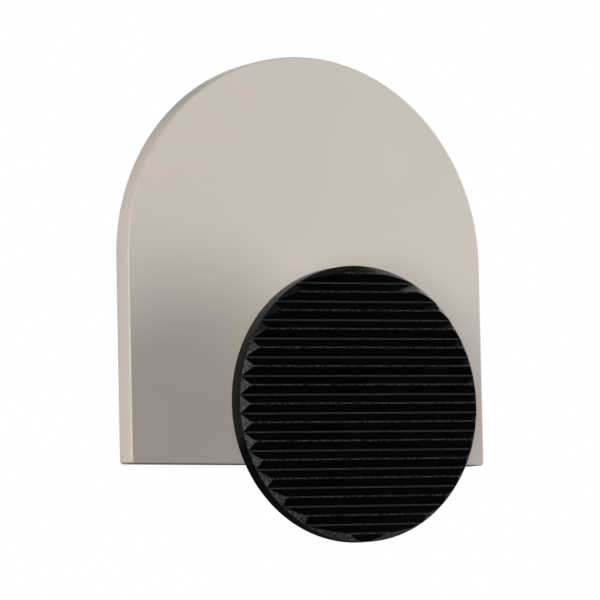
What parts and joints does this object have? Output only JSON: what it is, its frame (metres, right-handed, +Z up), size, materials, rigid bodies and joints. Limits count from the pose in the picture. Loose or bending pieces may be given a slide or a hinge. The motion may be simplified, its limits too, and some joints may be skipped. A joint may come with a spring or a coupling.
{
  "type": "door stop",
  "caption": "Wall door stop: arched painted plate hung flat on a wall, with a round ribbed rubber buffer on a short post in front of its foot.",
  "frame": {"origin": "on the plate's back face, which is the wall plane, at the centre of its arch", "axes": "+Z up along the wall, +X to the right seen from the front, +Y into the wall, so the buffer looks along -Y"},
  "size_m": [0.08, 0.0253, 0.0958],
  "materials": {
    "paint": "satin warm grey-beige powder coat, very fine grain",
    "zinc_strip": "zinc-plated sheet steel, satin",
    "screw_steel": "zinc-plated screw steel",
    "pin_steel": "ground hardened steel",
    "buffer_rubber": "black moulded rubber, slightly glossy, fine grain on the rib crests and a rough cut rim",
    "dot_rubber": "dark grey matt rubber"
  },
  "bodies": {
    "root": {"arch_plate": "paint", "hanger_plate": "zinc_strip", "hanger_screw_1": "screw_steel", "hanger_screw_2": "screw_steel", "hanger_screw_3": "screw_steel", "hanger_screw_4": "screw_steel", "post": "paint", "post_screw": "screw_steel", "post_pin": "pin_steel", "pad_carrier": "zinc_strip", "carrier_screw_1": "screw_steel", "carrier_screw_2": "screw_steel", "carrier_screw_3": "screw_steel", "ribbed_pad": "buffer_rubber", "wall_dot_1": "dot_rubber", "wall_dot_2": "dot_rubber", "wall_dot_3": "dot_rubber"}
  },
  "joints": []
}
